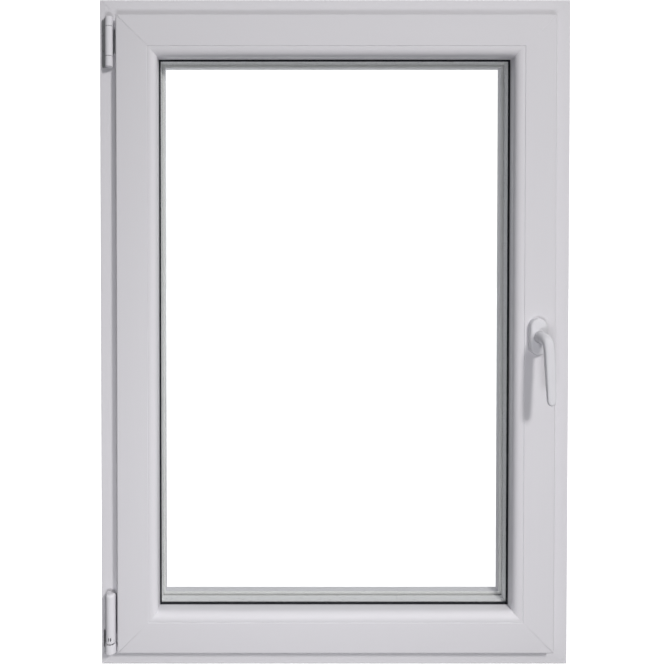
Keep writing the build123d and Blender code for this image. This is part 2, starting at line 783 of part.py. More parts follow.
tooth_points = []
for i in range(teeth):
    middle = 2 * math.pi * i / teeth
    half_pitch = math.pi / (2 * teeth)
    flank = []
    for k in range(6):
        radius = base_radius + (tip_radius - base_radius) * k / 5
        angle = math.acos(min(1.0, base_radius / radius))
        lean = half_pitch + involute(math.radians(pressure_angle)) - involute(angle)
        flank.append((radius, lean))
    flank = [(root_radius, flank[0][1] + 0.02)] + flank
    for radius, lean in flank:
        tooth_points.append((radius, middle - lean))
    for radius, lean in reversed(flank):
        tooth_points.append((radius, middle + lean))
tooth_y = y_line - face_tooth / 2
wheel_points = []
for radius, angle in tooth_points:
    wheel_points.append((Vector(x_spindle + radius * math.cos(angle), tooth_y, case_z + radius * math.sin(angle)), 0.0))
pinion = Solid.extrude(Face(outline(wheel_points)), Vector(0, face_tooth, 0))
hub_y = y_line - case_depth / 2 - 0.1
pinion = pinion + rod_of(hub_radius, (x_spindle, hub_y, case_z), (0, 1, 0), case_depth + 0.2)
half_bore = spindle_size / 2
pinion = pinion - box(x_spindle - half_bore, x_spindle + half_bore, hub_y - 1, hub_y + case_depth + 2,
                      case_z - half_bore, case_z + half_bore)
save("gear_pinion", pinion)

u_case = u_channel - 2.8
case_back = u_spindle + tip_radius + 2.0
case_y0 = y_line - case_depth / 2
case_y1 = y_line + case_depth / 2
handle_screw_list = []
for dz in (-half_screw, half_screw):
    handle_screw_list.append(
        screw(Vector(x_spindle, y_sash - 6.0, case_z + dz), outward_y, 6.0 - y_sash + case_y1, 4.6, 2.5)
    )
case = block("right", case_z - case_half, case_z + case_half, u_case, case_back, case_y0, case_y1)
case = case - rod_of(tip_radius + 0.5, (x_spindle, y_line - face_tooth / 2 - 0.3, case_z), (0, 1, 0), face_tooth + 0.6)
case = case - rod_of(hub_radius + running_fit, (x_spindle, case_y0 - 1, case_z), (0, 1, 0), case_depth + 2)
case = drill(case, handle_screw_list)
save("gear_case", case)

# Sash members -------------------------------------------------------------------
sash_section = [
    (u_flange, y_sash, 3.0),
    (u_sight, y_sash, 0.8),
    (u_sight, y_glaze, 0.3),
    (u_lip, y_glaze, 0.6),
    (u_lip, y_sash_out, 1.5),
    (u_groove, y_sash_out, 1.0),
    (u_groove, y_back, 0.3),
    (u_flange, y_back, 1.2),
]
u_gasket = u_flange + 5.5
sash_hollows = [
    rect(u_flange + wall, u_groove - 2.5, y_sash + wall, y_back - wall),
    rect(u_groove - 1.0, u_sight - 6.0, y_sash + wall, y_sash + 12.5),
    rect(u_groove + 11.8, u_sight - wall, y_sash + 14.5, y_glaze - 5.0),
    rect(u_groove + wall, u_sight - wall, y_glaze - 3.0, y_sash_out - wall),
    rect(u_sight + web, u_lip - wall, y_glaze + wall, y_sash_out - wall),
    rect(u_groove + wall, u_groove + 10.3, y_line + 11.0, y_glaze - 5.0),
    rect(u_sight - 3.0, u_sight + 1.0, y_sash + 4.0, y_sash + 7.0),
    rect(u_gasket - 1.3, u_gasket + 1.3, y_back - 1.6, y_back + 1.0),
    rect(u_groove - 1.0, u_groove + 3.0, y_line - plate_half - 0.2, y_line + plate_half + 0.2),
    rect(u_groove + 2.0, u_channel, y_line - rod_half - channel_play, y_line + rod_half + channel_play),
]
sash_welds = weld_grooves(u_flange - 1, u_sight, y_sash - 1, y_sash + weld_depth)
sash_welds += weld_grooves(u_groove - 1, u_lip + 1, y_sash_out - weld_depth, y_sash_out + 1)
case_pocket = block("right", case_z - case_half - 0.3, case_z + case_half + 0.3, u_rod, case_back + 0.3,
                    case_y0 - 0.3, case_y1 + 0.3)
spindle_hole = rod_of(6.5, (x_spindle, y_sash - 1, case_z), (0, 1, 0), case_y0 - y_sash + 2)
steel_u0 = u_groove + 11.8 + steel_play
steel_u1 = u_sight - wall - steel_play
steel_y0 = y_sash + 14.5 + steel_play
steel_y1 = y_glaze - 5.0 - steel_play
sash_names = {
    "bottom": "sash_bottom_rail",
    "top": "sash_top_rail",
    "left": "sash_hinge_stile",
    "right": "sash_lock_stile",
}
sash_steel = []
for side in SIDES:
    start, end = span(side)
    setback = u_groove + steel_setback
    bar = run(side, rect(steel_u0, steel_u1, steel_y0, steel_y1), start + setback, end - setback)
    bar = bar - run(side, rect(steel_u0 + steel_gauge, steel_u1 + 5, steel_y0 + steel_gauge, steel_y1 - steel_gauge), start, end)
    member = mitred(side, sash_section, sash_hollows)
    member = cut(member, sash_welds)
    if side == "right":
        bar = cut(bar, [case_pocket, spindle_hole])
        member = cut(member, [case_pocket, spindle_hole])
        bar = drill(bar, handle_screw_list)
        member = drill(member, handle_screw_list)
    sash_steel.append(drill(bar, sash_screws))
    save(sash_names[side], drill(member, sash_screws))
save("sash_reinforcement", fuse(sash_steel))
save("sash_screws", fuse(sash_screws))
save("frame_hardware_screws", fuse(frame_screws))
save("handle_screws", fuse(handle_screw_list))

gasket_root = rect(u_gasket - 1.2, u_gasket + 1.2, y_back - 1.5, y_back + 0.6)
gasket_bulb = [
    (u_gasket - 1.8, y_back + 0.05, 0.4),
    (u_gasket + 1.8, y_back + 0.05, 0.4),
    (u_gasket + 1.8, y_back + 3.0, 1.6),
    (u_gasket - 1.8, y_back + 3.0, 1.6),
]
sash_gasket = ring(gasket_root) + ring(gasket_bulb)
gaps = [
    block("left", leaf_low - 2, leaf_high + 2, u_flange + 1, u_groove - 1, y_back, y_face),
    block("left", strap_low - 2, H - u_flange - 1, u_flange + 1, u_groove - 1, y_back, y_face),
]
save("sash_gasket", cut(sash_gasket, gaps))

# Glass unit, beads and rubber ---------------------------------------------------
gx = W / 2 - u_glass
save("outer_pane", box(-gx, gx, y_pane_out - pane_thickness, y_pane_out, u_glass, H - u_glass))
save("inner_pane", box(-gx, gx, y_pane_in, y_pane_in + pane_thickness, u_glass, H - u_glass))
cavity = (y_pane_in + pane_thickness, y_pane_out - pane_thickness)
save("edge_seal", ring(rect(u_glass, u_glass + seal_width, cavity[0], cavity[1])))
save("spacer_bar", ring(rect(u_glass + seal_width, u_glass + seal_width + spacer_width, cavity[0], cavity[1])))
save(
    "outer_glazing_gasket",
    ring([(u_lip - 8.0, y_pane_out), (u_lip + 0.8, y_pane_out, 0.4), (u_lip + 0.8, y_glaze - 1.0, 0.4), (u_lip, y_glaze), (u_lip - 8.0, y_glaze)]),
)
save(
    "inner_glazing_gasket",
    ring([(u_glass + 2.0, y_bead_back), (u_bead, y_bead_back), (u_bead + 2.6, y_pane_in - 1.6, 0.8), (u_bead + 2.6, y_pane_in), (u_glass + 2.0, y_pane_in)]),
)
packers = []
py0 = y_pane_in + 1.0
py1 = y_pane_out - 1.0
for side, places in (
    ("bottom", (-0.29 * W, 0.29 * W)),
    ("top", (-0.29 * W, 0.29 * W)),
    ("left", (0.22 * H, 0.78 * H)),
    ("right", (0.22 * H, 0.78 * H)),
):
    for spot in places:
        packers.append(block(side, spot - packer_length / 2, spot + packer_length / 2, u_sight, u_glass, py0, py1))
save("glazing_packers", fuse(packers))

bead_front = y_sash + 0.5
bead_section = [
    (u_sight, bead_front + 0.5),
    (u_sight + 0.6, bead_front, 0.3),
    (u_bead, bead_front, bead_round),
    (u_bead, y_bead_back, 0.5),
    (u_sight + 3.0, y_bead_back),
    (u_sight, y_bead_back - 4.0),
]
bead_foot = rect(u_sight - 2.6, u_sight + 1.0, y_sash + 4.3, y_sash + 6.7)
bead_hollow = [
    (u_sight + 2.2, bead_front + 2.4),
    (u_bead - 6.5, bead_front + 2.4, 1.0),
    (u_bead - 2.2, bead_front + bead_round - 2.0, 1.0),
    (u_bead - 2.2, y_bead_back - 2.2),
    (u_sight + 3.4, y_bead_back - 2.2),
    (u_sight + 2.2, y_bead_back - 4.4),
]
for side in SIDES:
    start, end = span(side)
    body = run(side, bead_section, start, end) + run(side, bead_foot, start, end)
    body = body - run(side, bead_hollow, start, end)
    save("bead_" + side, body & wedges[side])

# Handle ---------------------------------------------------------------------------


def oval(width, height, y0, y1):
    """An upright round-ended plate centred on the spindle."""
    r = width / 2
    z0 = case_z - height / 2
    z1 = case_z + height / 2
    middle = box(x_spindle - r, x_spindle + r, y0, y1, z0 + r, z1 - r)
    low = rod_of(r, (x_spindle, y0, z0 + r), (0, 1, 0), y1 - y0)
    high = rod_of(r, (x_spindle, y0, z1 - r), (0, 1, 0), y1 - y0)
    return fuse([middle, low, high]).clean()


plate_width = rose_width - 2 * rose_wall - 0.6
plate_height = rose_height - 2 * rose_wall - 0.6
plate = oval(plate_width, plate_height, y_sash - 6.0, y_sash)
plate = plate - rod_of(journal_radius + running_fit, (x_spindle, y_sash - 7, case_z), (0, 1, 0), 8)
save("handle_base_plate", drill(plate, handle_screw_list))
rose = oval(rose_width, rose_height, y_sash - rose_depth, y_sash)
front = rose.faces().sort_by(Axis.Y)[0]
rose = rose.fillet(2.4, front.edges())
rose = rose - oval(rose_width - 2 * rose_wall, rose_height - 2 * rose_wall, y_sash - rose_depth + rose_wall + 1.0, y_sash + 1)
rose = rose - rod_of(neck_radius + running_fit, (x_spindle, y_sash - rose_depth - 1, case_z), (0, 1, 0), 8)
save("handle_rose", rose)

neck_start = y_sash - 6.4
face_top = y_sash - lever_reach
face_tip = face_top - 11.0
neck = rod_of(neck_radius, (x_spindle, face_top + 4.0, case_z), (0, 1, 0), neck_start - face_top - 4.0)
journal = rod_of(journal_radius, (x_spindle, neck_start - 1, case_z), (0, 1, 0), 6.0)
side_points = [
    (face_top + 8.0, 10.5, 0.0),
    (face_top, 10.5, 5.0),
    (face_tip, -lever_length, 3.5),
    (face_tip + 8.2, -lever_length, 3.5),
    (face_top + 8.0, -34.0, 30.0),
    (face_top + 20.0, -9.0, 0.0),
    (face_top + 20.0, 10.5, 0.0),
]
side_face = Face(outline([(Vector(x_spindle - 20, p[0], case_z + p[1]), p[2]) for p in side_points]))
side_body = Solid.extrude(side_face, Vector(40, 0, 0))
tip_z = lever_length - lever_tip_radius
lean = math.asin((neck_radius - lever_tip_radius) / tip_z)
c, s = math.cos(lean), math.sin(lean)
front_edges = []
y_far = face_tip - 5


def front_point(x, z):
    return Vector(x_spindle + x, y_far, case_z + z)


top_right = front_point(neck_radius * c, -neck_radius * s)
top_left = front_point(-neck_radius * c, -neck_radius * s)
tip_right = front_point(lever_tip_radius * c, -tip_z - lever_tip_radius * s)
tip_left = front_point(-lever_tip_radius * c, -tip_z - lever_tip_radius * s)
front_wire = Wire(
    [
        Edge.make_three_point_arc(top_left, front_point(0, neck_radius), top_right),
        Edge.make_line(top_right, tip_right),
        Edge.make_three_point_arc(tip_right, front_point(0, -lever_length), tip_left),
        Edge.make_line(tip_left, top_left),
    ]
)
front_body = Solid.extrude(Face(front_wire), Vector(0, 60, 0))
lever = fuse([side_body & front_body, neck, journal])
square = box(x_spindle - half_bore, x_spindle + half_bore, face_top + 12, y_sash, case_z - half_bore, case_z + half_bore)
save("handle_lever", lever - square)
spindle = box(x_spindle - half_bore + 0.03, x_spindle + half_bore - 0.03, face_top + 12, case_y1,
              case_z - half_bore + 0.03, case_z + half_bore - 0.03)
save("handle_spindle", spindle)
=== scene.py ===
import math

import bmesh
import bpy
from mathutils import Matrix, Vector


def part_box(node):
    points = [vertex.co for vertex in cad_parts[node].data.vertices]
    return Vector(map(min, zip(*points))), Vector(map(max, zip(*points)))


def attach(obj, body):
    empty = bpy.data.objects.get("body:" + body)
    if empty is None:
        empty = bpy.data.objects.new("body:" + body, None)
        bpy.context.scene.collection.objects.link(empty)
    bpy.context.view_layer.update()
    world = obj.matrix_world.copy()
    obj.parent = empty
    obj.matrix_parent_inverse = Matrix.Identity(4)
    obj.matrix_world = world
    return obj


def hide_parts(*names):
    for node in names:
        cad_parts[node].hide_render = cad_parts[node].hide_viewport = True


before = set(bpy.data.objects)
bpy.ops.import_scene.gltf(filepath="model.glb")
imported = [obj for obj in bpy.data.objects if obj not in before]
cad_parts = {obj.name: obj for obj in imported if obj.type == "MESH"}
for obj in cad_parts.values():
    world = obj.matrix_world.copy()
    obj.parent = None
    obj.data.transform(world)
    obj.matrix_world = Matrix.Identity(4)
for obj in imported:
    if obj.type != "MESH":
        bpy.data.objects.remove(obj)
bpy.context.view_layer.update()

MM = 0.001
# Corners closer than WELD are one corner, and SEAM closes a finished piece.
WELD = 0.002 * MM
SEAM = 0.005 * MM
# Edges that turn by more than this many degrees are shaded crisp.
CRISP = 35.0
FULL_TURN = 2 * math.pi


# Shader maths --------------------------------------------------------------
class Amount:
    """A number that varies over a surface. Arithmetic on it becomes shader maths."""

    def __init__(self, finish, socket):
        self.finish = finish
        self.socket = socket

    def maths(self, operation, first, second):
        node = self.finish.add("ShaderNodeMath", {"operation": operation}, {0: first, 1: second})
        return Amount(self.finish, node.outputs[0])

    def __add__(self, other):
        return self.maths("ADD", self, other)

    def __mul__(self, other):
        return self.maths("MULTIPLY", self, other)

    def __pow__(self, other):
        return self.maths("POWER", self, other)

    def __neg__(self):
        return self.maths("MULTIPLY", self, -1.0)

    __radd__ = __add__
    __rmul__ = __mul__

    def over_zero(self):
        return self.maths("MAXIMUM", self, 0.0)

    def above(self, limit):
        return self.maths("GREATER_THAN", self, limit)


class Finish:
    """The shader of a material, the world or a light, and the nodes that vary it."""

    def __init__(self, owner, shader, sockets=None):
        owner.use_nodes = True
        self.owner = owner
        self.tree = owner.node_tree
        self.tree.nodes.clear()
        output = self.add("ShaderNodeOutput" + owner.id_type.capitalize())
        self.shader = self.add(shader, None, sockets)
        self.feed(output.inputs["Surface"], self.shader.outputs[0])

    def add(self, kind, settings=None, sockets=None):
        node = self.tree.nodes.new(kind)
        for name, value in (settings or {}).items():
            setattr(node, name, value)
        for key, value in (sockets or {}).items():
            self.feed(node.inputs[key], value)
        return node

    def feed(self, socket, value):
        if isinstance(value, Amount):
            value = value.socket
        if isinstance(value, bpy.types.NodeSocket):
            self.tree.links.new(value, socket)
        else:
            socket.default_value = value

    def number(self, node, output=0):
        return Amount(self, node.outputs[output])

    def place(self, stretch):
        """Object coordinates in metres, drawn out along an axis where its stretch is small."""
        where = self.add("ShaderNodeTexCoord")
        sockets = {"Vector": where.outputs["Object"], "Scale": stretch}
        return self.add("ShaderNodeMapping", None, sockets).outputs[0]

    def cloud(self, scale, detail, stretch=(1.0, 1.0, 1.0)):
        """Soft random variation from 0 to 1, with an average of about a half."""
        sockets = {"Vector": self.place(stretch), "Scale": scale, "Detail": detail}
        return self.number(self.add("ShaderNodeTexNoise", None, sockets))

    def cells(self, scale):
        """Flat patches with a random value each, such as zinc spangle."""
        sockets = {"Vector": self.place((1.0, 1.0, 1.0)), "Scale": scale}
        node = self.add("ShaderNodeTexVoronoi", None, sockets)
        return self.number(self.add("ShaderNodeSeparateColor", None, {0: node.outputs["Color"]}))

    def tint(self, amount, first, second):
        """The first colour where the amount is 0, the second where it is 1."""
        sockets = {0: amount, 6: first + (1.0,), 7: second + (1.0,)}
        return self.add("ShaderNodeMix", {"data_type": "RGBA"}, sockets).outputs[2]

    def set(self, name, value):
        self.feed(self.shader.inputs[name], value)

    def relief(self, height, depth):
        bump = self.add("ShaderNodeBump", None, {"Height": height, "Distance": depth})
        self.set("Normal", bump.outputs[0])


def coated(name, sockets=None):
    """A new material with one opaque surface."""
    return Finish(bpy.data.materials.new(name), "ShaderNodeBsdfPrincipled", sockets)


# Finishes ------------------------------------------------------------------
def window_plastic(name, along):
    """Satin extruded plastic with faint drawing lines along the profile."""
    stretch = tuple(0.8 if axis == along else 60.0 for axis in "xyz")
    coat = coated(name, {"IOR": 1.5, "Specular IOR Level": 0.45})
    lines = coat.cloud(9.0, 3.0, stretch)
    haze = coat.cloud(5.0, 3.0)
    peel = coat.cloud(420.0, 2.0)
    shade_of_white = 0.65 * haze + 0.35 * lines
    coat.set("Base Color", coat.tint(shade_of_white, (0.775, 0.762, 0.800), (0.812, 0.800, 0.834)))
    coat.set("Roughness", 0.30 + 0.07 * haze + 0.05 * lines)
    coat.relief(0.7 * lines + 0.3 * peel, 0.00006)
    return coat.owner


def moulded_plastic(name, light, dark, rough, grain):
    """Injection-moulded plastic with a fine spark-eroded grain."""
    coat = coated(name, {"IOR": 1.5})
    haze = coat.cloud(22.0, 3.0)
    spark = coat.cloud(1500.0, 2.0)
    coat.set("Base Color", coat.tint(haze, light, dark))
    coat.set("Roughness", rough + 0.08 * haze)
    coat.relief(spark, grain)
    return coat.owner


def powder_coat(name):
    """White powder coat: a soft gloss over slight orange peel."""
    coat = coated(name, {"IOR": 1.5, "Coat Roughness": 0.16, "Coat Weight": 0.35})
    haze = coat.cloud(30.0, 2.0)
    peel = coat.cloud(620.0, 1.0)
    coat.set("Base Color", coat.tint(haze, (0.80, 0.795, 0.835), (0.84, 0.835, 0.87)))
    coat.set("Roughness", 0.30 + 0.08 * haze)
    coat.relief(peel, 0.00006)
    return coat.owner


def seal_rubber(name, light, dark):
    """Matt extruded rubber with a dry bloom, darkest where the bloom is thin."""
    coat = coated(name, {"IOR": 1.45, "Specular IOR Level": 0.35})
    bloom = coat.cloud(60.0, 4.0)
    skin = coat.cloud(1800.0, 2.0)
    coat.set("Base Color", coat.tint(bloom, dark, light))
    coat.set("Roughness", 0.48 + 0.2 * bloom)
    coat.relief(0.5 * bloom + 0.5 * skin, 0.00008)
    return coat.owner


def float_glass(name):
    """A clear pane: light passes through, with reflections by angle and a trace of haze."""
    head_on = 0.03
    edge_on = 0.9
    steepness = 5.0
    dust_shine = 0.006
    coat = Finish(bpy.data.materials.new(name), "ShaderNodeMixShader")
    dust = coat.cloud(14.0, 5.0)
    clear = coat.add("ShaderNodeBsdfTransparent", None, {"Color": (0.992, 0.994, 0.992, 1.0)})
    shine = coat.add("ShaderNodeBsdfGlossy", None, {"Color": (0.9, 0.92, 0.93, 1.0)})
    coat.feed(shine.inputs["Roughness"], 0.01 + 0.03 * dust)
    slant = coat.number(coat.add("ShaderNodeLayerWeight", None, {"Blend": 0.5}), "Facing")
    coat.feed(coat.shader.inputs[0], head_on + edge_on * slant ** steepness + dust_shine * dust)
    coat.feed(coat.shader.inputs[1], clear.outputs[0])
    coat.feed(coat.shader.inputs[2], shine.outputs[0])
    return coat.owner


def plated_steel(name, light, dark, rough, along):
    """Bright zinc plate over pressed steel, with faint rolling lines."""
    stretch = tuple(1.0 if axis == along else 45.0 for axis in "xyz")
    coat = coated(name, {"Metallic": 1.0})
    lines = coat.cloud(20.0, 3.0, stretch)
    stain = coat.cloud(45.0, 4.0)
    coat.set("Base Color", coat.tint(0.6 * stain + 0.4 * lines, light, dark))
    coat.set("Roughness", rough + 0.14 * stain)
    coat.relief(lines, 0.00003)
    return coat.owner


def spangled_steel(name):
    """Galvanised sheet with zinc spangle."""
    coat = coated(name, {"Metallic": 1.0})
    spangle = coat.cells(110.0)
    stain = coat.cloud(30.0, 4.0)
    brightness = 0.7 * spangle + 0.3 * stain
    coat.set("Base Color", coat.tint(brightness, (0.45, 0.46, 0.48), (0.68, 0.69, 0.70)))
    coat.set("Roughness", 0.32 + 0.22 * spangle)
    coat.relief(stain, 0.00005)
    return coat.owner


def perforated_spacer(name):
    """Mill-finish aluminium, dulled white by its anodising, with a few breathing holes."""
    coat = coated(name, {"Metallic": 0.1})
    stain = coat.cloud(80.0, 3.0)
    holes = coat.cells(500.0).above(0.95)
    coat.set("Base Color", coat.tint(holes, (0.88, 0.88, 0.89), (0.70, 0.70, 0.71)))
    coat.set("Roughness", 0.5 + 0.12 * stain)
    coat.relief(stain, 0.00003)
    return coat.owner


plastic_along = {axis: window_plastic("window_plastic_" + axis, axis) for axis in "xz"}
cover_plastic = moulded_plastic("cover_plastic", (0.775, 0.765, 0.805), (0.81, 0.80, 0.835), 0.28, 0.00003)
handle_coat = powder_coat("handle_powder_coat")
black_rubber = seal_rubber("black_seal_rubber", (0.020, 0.021, 0.026), (0.010, 0.011, 0.014))
pale_rubber = seal_rubber("pale_seal_rubber", (0.93, 0.93, 0.93), (0.88, 0.88, 0.88))
edge_putty = seal_rubber("pane_edge_putty", (0.030, 0.030, 0.032), (0.016, 0.016, 0.018))
clear_glass = float_glass("clear_float_glass")
spacer_metal = perforated_spacer("perforated_aluminium")
spangle_zinc = spangled_steel("spangled_steel")
zinc_plate = {
    axis: plated_steel("zinc_plate_" + axis, (0.62, 0.63, 0.64), (0.78, 0.78, 0.79), 0.26, axis)
    for axis in "xyz"
}
packer_blue = moulded_plastic("packer_plastic", (0.10, 0.22, 0.52), (0.14, 0.28, 0.60), 0.42, 0.00005)


# Mesh helpers --------------------------------------------------------------
def piece_from(bm, name, coat, body, crisp=CRISP):
    """Closes a bmesh into a finished piece that rides on a body."""
    bmesh.ops.remove_doubles(bm, verts=bm.verts, dist=SEAM)
    bmesh.ops.recalc_face_normals(bm, faces=bm.faces)
    shade(bm, crisp)
    mesh = bpy.data.meshes.new(name)
    bm.to_mesh(mesh)
    bm.free()
    mesh.materials.append(coat)
    piece = bpy.data.objects.new(name, mesh)
    bpy.context.scene.collection.objects.link(piece)
    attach(piece, body)
    return piece


def shade(bm, crisp):
    """Smooth faces, with a break at open edges and where the surface turns sharply."""
    for face in bm.faces:
        face.smooth = True
    for edge in bm.edges:
        sharp = len(edge.link_faces) != 2 or edge.calc_face_angle(math.pi) > math.radians(crisp)
        edge.smooth = not sharp


def join_in(whole, one):
    """Adds one bmesh to a whole one and frees it."""
    carried = bpy.data.meshes.new("carried")
    one.to_mesh(carried)
    one.free()
    whole.from_mesh(carried)
    bpy.data.meshes.remove(carried)


def rounded(piece, width):
    """A small round on every crisp edge."""
    bevel = piece.modifiers.new("rounded_edges", "BEVEL")
    bevel.width = width
    bevel.segments = 2
    bevel.limit_method = "ANGLE"
    bevel.angle_limit = math.radians(CRISP)
    bevel.harden_normals = True
    bevel.use_clamp_overlap = True


def smoothed(piece, levels):
    surface = piece.modifiers.new("smooth_form", "SUBSURF")
    surface.levels = levels
    surface.render_levels = levels


def copy_of(node):
    """A CAD node's mesh as one connected bmesh with its flat faces whole."""
    flatness = math.radians(0.3)
    bm = bmesh.new()
    bm.from_mesh(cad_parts[node].data)
    bmesh.ops.remove_doubles(bm, verts=bm.verts, dist=WELD)
    bmesh.ops.dissolve_limit(bm, angle_limit=flatness, verts=bm.verts, edges=bm.edges)
    return bm


def drop_old_normals(piece):
    """Takes off the shading normals that came with the CAD mesh."""
    old = piece.data.attributes.get("custom_normal")
    if old:
        piece.data.attributes.remove(old)


def softened(node, coat, body, width):
    """A CAD node carried over with the small rounds that its real edges have."""
    piece = piece_from(copy_of(node), node + "_finished", coat, body)
    drop_old_normals(piece)
    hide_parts(node)
    rounded(piece, width)


def dress(coat, *names):
    """Puts a finish on CAD nodes that keep their own shape."""
    for name in names:
        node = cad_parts[name]
        if not node.data.materials:
            node.data.materials.append(coat)
        for place in node.material_slots:
            place.material = coat


# Profiles, beads and covers --------------------------------------------------
frame_round = 0.5 * MM
sash_round = 0.4 * MM
cover_round = 0.25 * MM


def plastic_profiles():
    """Each welded member and each bead, with its drawing lines along its own length."""
    for name in ("frame_sill", "frame_head"):
        softened(name, plastic_along["x"], "frame", frame_round)
    for name in ("frame_left_jamb", "frame_right_jamb"):
        softened(name, plastic_along["z"], "frame", frame_round)
    for name in ("sash_bottom_rail", "sash_top_rail", "bead_top", "bead_bottom"):
        softened(name, plastic_along["x"], "sash", sash_round)
    for name in ("sash_hinge_stile", "sash_lock_stile", "bead_left", "bead_right"):
        softened(name, plastic_along["z"], "sash", sash_round)


def outer_seal():
    """The outer glazing rubber, a hair clear of the pane so that its face shows through the glass."""
    clearance = 0.15 * MM
    touching = 0.1 * MM
    bm = copy_of("outer_glazing_gasket")
    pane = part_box("outer_pane")[1].y
    for vert in bm.verts:
        if vert.co.y < pane + touching:
            vert.co.y = pane + clearance
    piece = piece_from(bm, "outer_seal", pale_rubber, "sash")
    drop_old_normals(piece)
    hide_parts("outer_glazing_gasket")


def hinge_covers():
    covers = {
        "stay_bearing_cover": "frame",
        "pivot_rest_cover": "frame",
        "stay_arm_cover": "stay_arm",
        "corner_band_cover": "sash",
    }
    for name, body in covers.items():
        softened(name, cover_plastic, body, cover_round)


# Handle ----------------------------------------------------------------------
spindle_low, spindle_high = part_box("handle_spindle")
spindle = (spindle_low + spindle_high) / 2
rose_low, rose_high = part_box("handle_rose")
# The lever's round neck turns inside the rose's collar. Its radius, mm.
neck_radius = 10.45


def tube(around, along, point):
    """A tube from a grid: point(turn, step) gives each place, turn from 0 to 1 round it."""
    bm = bmesh.new()
    bmesh.ops.create_grid(bm, x_segments=around, y_segments=along, size=0.5)
    for vert in bm.verts:
        turn = round((vert.co.x + 0.5) * around) / around
        vert.co = point(turn, round((vert.co.y + 0.5) * along))
    bmesh.ops.remove_doubles(bm, verts=bm.verts, dist=WELD)
    return bm


def close_ends(bm):
    bmesh.ops.holes_fill(bm, edges=[e for e in bm.edges if e.is_boundary], sides=0)


def squared(angle, power):
    """A point on a round outline that grows squarer as power grows from 2."""
    c, s = math.cos(angle), math.sin(angle)
    return (
        math.copysign(abs(c) ** (2.0 / power), c),
        math.copysign(abs(s) ** (2.0 / power), s),
    )


# Lever stations, mm: out from the sash face, down from the spindle, lean of the path
# from straight out to straight down, half width, half thickness, squareness.
lever_path = [
    (6.4, 0.0, 0.0, neck_radius, neck_radius, 2.0),
    (12.0, 0.0, 0.0, neck_radius, neck_radius, 2.0),
    (24.0, 0.0, 0.0, 10.35, 10.4, 2.0),
    (31.5, 0.5, 10.0, 10.1, 10.0, 2.0),
    (37.5, 3.4, 36.0, 9.7, 8.8, 2.1),
    (41.0, 9.0, 62.0, 9.3, 7.2, 2.4),
    (42.6, 17.0, 78.0, 9.0, 6.2, 2.8),
    (44.2, 30.0, 84.0, 8.7, 5.6, 3.2),
    (47.0, 60.0, 84.4, 8.2, 5.0, 3.4),
    (49.6, 90.0, 84.4, 7.6, 4.5, 3.4),
    (50.6, 103.0, 84.4, 7.2, 4.2, 3.2),
    (51.0, 107.6, 84.4, 6.3, 3.8, 2.8),
    (51.2, 110.4, 84.4, 4.2, 2.9, 2.4),
    (51.3, 111.6, 84.4, 1.6, 1.3, 2.0),
]


def handle_lever():
    sides = 32
    sash_face = rose_high.y

    def point(turn, step):
        out, down, lean, half_width, half_thickness, squareness = lever_path[step]
        across, front = squared(FULL_TURN * turn, squareness)
        across *= half_width * MM
        front *= half_thickness * MM
        lean = math.radians(lean)
        return Vector(
            (
                spindle.x + across,
                sash_face - out * MM - front * math.sin(lean),
                spindle.z - down * MM + front * math.cos(lean),
            )
        )

    bm = tube(sides, len(lever_path) - 1, point)
    close_ends(bm)
    lever = piece_from(bm, "lever_grip", handle_coat, "handle", 80.0)
    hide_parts("handle_lever")
    smoothed(lever, 2)


# Rose stations: out from the sash face, mm, inset of the oval, mm, and from the cap's
# face inwards, where the outline is round, its radius as a multiple of the neck's.
rose_path = [
    (0.0, 0.0, 0.0),
    (7.6, 0.0, 0.0),
    (9.4, 0.5, 0.0),
    (10.4, 1.6, 0.0),
    (10.9, 3.2, 0.0),
    (11.0, 0.0, 1.25),
    (11.0, 0.0, 1.2),
    (12.1, 0.0, 1.17),
    (12.5, 0.0, 1.12),
    (12.5, 0.0, 1.03),
    (12.2, 0.0, 1.012),
    (7.2, 0.0, 1.012),
]


def handle_rose():
    sides = 64
    radius = (rose_high.x - rose_low.x) / 2
    straight = (rose_high.z - rose_low.z) / 2 - radius

    def point(turn, step):
        out, inset, collar = rose_path[step]
        angle = FULL_TURN * turn
        c, s = math.cos(angle), math.sin(angle)
        if collar:
            x, z = c * neck_radius * MM * collar, s * neck_radius * MM * collar
        else:
            x, z = c * (radius - inset * MM), s * (radius - inset * MM)
            z += math.copysign(straight, s) if abs(s) > 1e-6 else 0.0
        return Vector((spindle.x + x, rose_high.y - out * MM, spindle.z + z))

    bm = tube(sides, len(rose_path) - 1, point)
    rose = piece_from(bm, "rose_cap", handle_coat, "sash", 60.0)
    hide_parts("handle_rose")


# Screws ------------------------------------------------------------------------
def islands(node):
    """The corners of each separate solid of a CAD node."""
    bm = copy_of(node)
    left = set(bm.verts)
    found = []
    while left:
        group = {left.pop()}
        edge = set(group)
        while edge:
            near = {e.other_vert(v) for v in edge for e in v.link_edges}
            edge = near - group
            group |= edge
        left -= group
        found.append([v.co.copy() for v in group])
    bm.free()
    return sorted(found, key=lambda points: tuple(round(c, 4) for c in min(points, key=tuple)))


